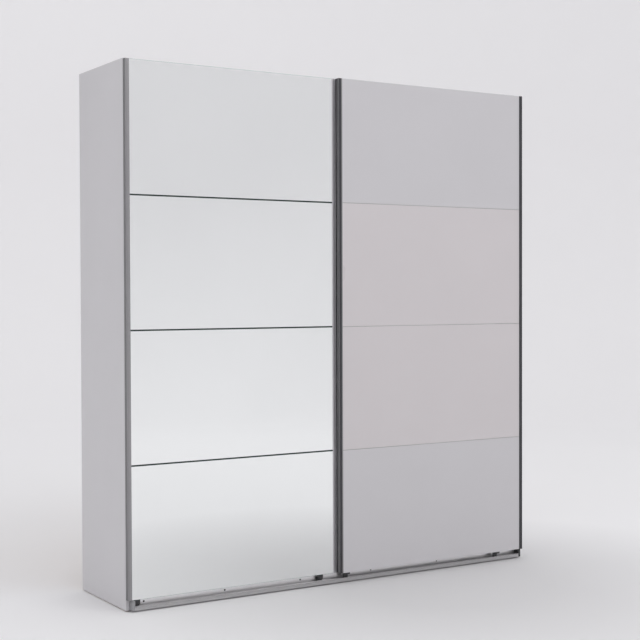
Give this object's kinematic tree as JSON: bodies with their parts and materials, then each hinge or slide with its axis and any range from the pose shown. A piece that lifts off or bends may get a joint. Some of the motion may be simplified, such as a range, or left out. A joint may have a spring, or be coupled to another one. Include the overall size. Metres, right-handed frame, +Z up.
{
  "type": "sliding door wardrobe",
  "caption": "Wardrobe with a mirrored door and a plain panelled door that slide past each other in front of shelved hanging bays.",
  "frame": {"origin": "centre of the footprint, on the floor", "axes": "+Z up, -Y towards the front of the doors, +X to the right as seen from the front"},
  "size_m": [2, 0.497, 2.16],
  "materials": {
    "white_board": "white melamine faced chipboard, satin, fine texture",
    "hardboard": "raw brown hardboard on the outside, white foil on the inside",
    "raw_chipboard": "raw chipboard",
    "chromed_tube": "polished chrome",
    "zinc_steel": "zinc plated steel",
    "cast_zinc": "cast zinc",
    "dark_steel": "blackened steel",
    "silver_aluminium": "natural anodised aluminium, fine lengthwise brushing",
    "dark_aluminium": "dark grey anodised aluminium",
    "dark_plastic": "dark grey moulded plastic",
    "grey_plastic": "mid grey moulded plastic",
    "black_plastic": "black plastic strip",
    "pale_plastic": "light grey plastic strip",
    "white_plastic": "white nylon",
    "wheel_plastic": "off-white acetal",
    "mirror_glass": "silvered clear glass",
    "seal_rubber": "black rubber",
    "cool_white_board": "satin white with a cool tint",
    "warm_white_board": "satin white with a warm tint"
  },
  "bodies": {
    "carcass": {"left_side_panel": "white_board", "right_side_panel": "white_board", "centre_partition": "white_board", "left_top_panel": "white_board", "right_top_panel": "white_board", "left_bottom_panel": "white_board", "right_bottom_panel": "white_board", "left_header": "white_board", "right_header": "white_board", "left_plinth": "white_board", "right_plinth": "white_board", "left_back_panel": "hardboard", "right_back_panel": "hardboard", "left_hat_shelf": "white_board", "right_hat_shelf": "white_board", "left_clothes_rail": "chromed_tube", "right_clothes_rail": "chromed_tube", "clothes_rail_sockets": "zinc_steel", "shelf_pins": "zinc_steel", "cam_fittings": "cast_zinc", "cam_bolts": "zinc_steel", "floor_glides": "white_plastic", "wall_brackets": "zinc_steel", "cabinet_screws": "zinc_steel", "top_rail": "silver_aluminium", "track_stops": "dark_plastic", "bottom_rail": "silver_aluminium", "bottom_rail_screws": "dark_steel", "left_rail_cap": "grey_plastic", "right_rail_cap": "dark_plastic"},
    "mirror_door": {"top_mirror": "mirror_glass", "upper_mirror": "mirror_glass", "lower_mirror": "mirror_glass", "bottom_mirror": "mirror_glass", "mirror_backing_boards": "raw_chipboard", "mirror_door_strips": "black_plastic", "mirror_door_left_profile": "silver_aluminium", "mirror_door_right_profile": "silver_aluminium", "mirror_door_bars": "silver_aluminium", "mirror_door_seal": "seal_rubber", "mirror_door_carriages": "zinc_steel", "mirror_door_axles": "zinc_steel", "mirror_door_screws": "dark_steel", "mirror_door_guides": "dark_plastic"},
    "panel_door": {"top_plain_panel": "cool_white_board", "upper_plain_panel": "warm_white_board", "lower_plain_panel": "warm_white_board", "bottom_plain_panel": "cool_white_board", "panel_door_strips": "pale_plastic", "panel_door_left_profile": "dark_aluminium", "panel_door_right_profile": "dark_aluminium", "panel_door_bars": "silver_aluminium", "panel_door_arms": "zinc_steel", "panel_door_axles": "zinc_steel", "panel_door_screws": "dark_steel", "panel_door_guides": "dark_plastic"},
    "mirror_door_left_wheel": {"mirror_door_left_wheel": "wheel_plastic"},
    "mirror_door_right_wheel": {"mirror_door_right_wheel": "wheel_plastic"},
    "panel_door_left_wheel": {"panel_door_left_wheel": "wheel_plastic"},
    "panel_door_right_wheel": {"panel_door_right_wheel": "wheel_plastic"}
  },
  "joints": [
    {"name": "mirror_door_slide", "type": "slide", "parent": "carcass", "child": "mirror_door", "axis": [1, 0, 0], "range_m": [0, 1.034]},
    {"name": "panel_door_slide", "type": "slide", "parent": "carcass", "child": "panel_door", "axis": [1, 0, 0], "range_m": [-0.967, 0]},
    {"name": "mirror_door_left_wheel_spin", "type": "hinge", "parent": "mirror_door", "child": "mirror_door_left_wheel", "pos_m": [-0.932, -0.189, 2.13], "axis": [0, 1, 0], "continuous": true},
    {"name": "mirror_door_right_wheel_spin", "type": "hinge", "parent": "mirror_door", "child": "mirror_door_right_wheel", "pos_m": [-0.102, -0.189, 2.13], "axis": [0, 1, 0], "continuous": true},
    {"name": "panel_door_left_wheel_spin", "type": "hinge", "parent": "panel_door", "child": "panel_door_left_wheel", "pos_m": [0.035, -0.169, 2.13], "axis": [0, 1, 0], "continuous": true},
    {"name": "panel_door_right_wheel_spin", "type": "hinge", "parent": "panel_door", "child": "panel_door_right_wheel", "pos_m": [0.914, -0.169, 2.13], "axis": [0, 1, 0], "continuous": true}
  ],
  "couplings": [
    {"joint": "mirror_door_left_wheel_spin", "follows": "mirror_door_slide", "rad_per_m": 83.333},
    {"joint": "mirror_door_right_wheel_spin", "follows": "mirror_door_slide", "rad_per_m": 83.333},
    {"joint": "panel_door_left_wheel_spin", "follows": "panel_door_slide", "rad_per_m": 83.333},
    {"joint": "panel_door_right_wheel_spin", "follows": "panel_door_slide", "rad_per_m": 83.333}
  ]
}
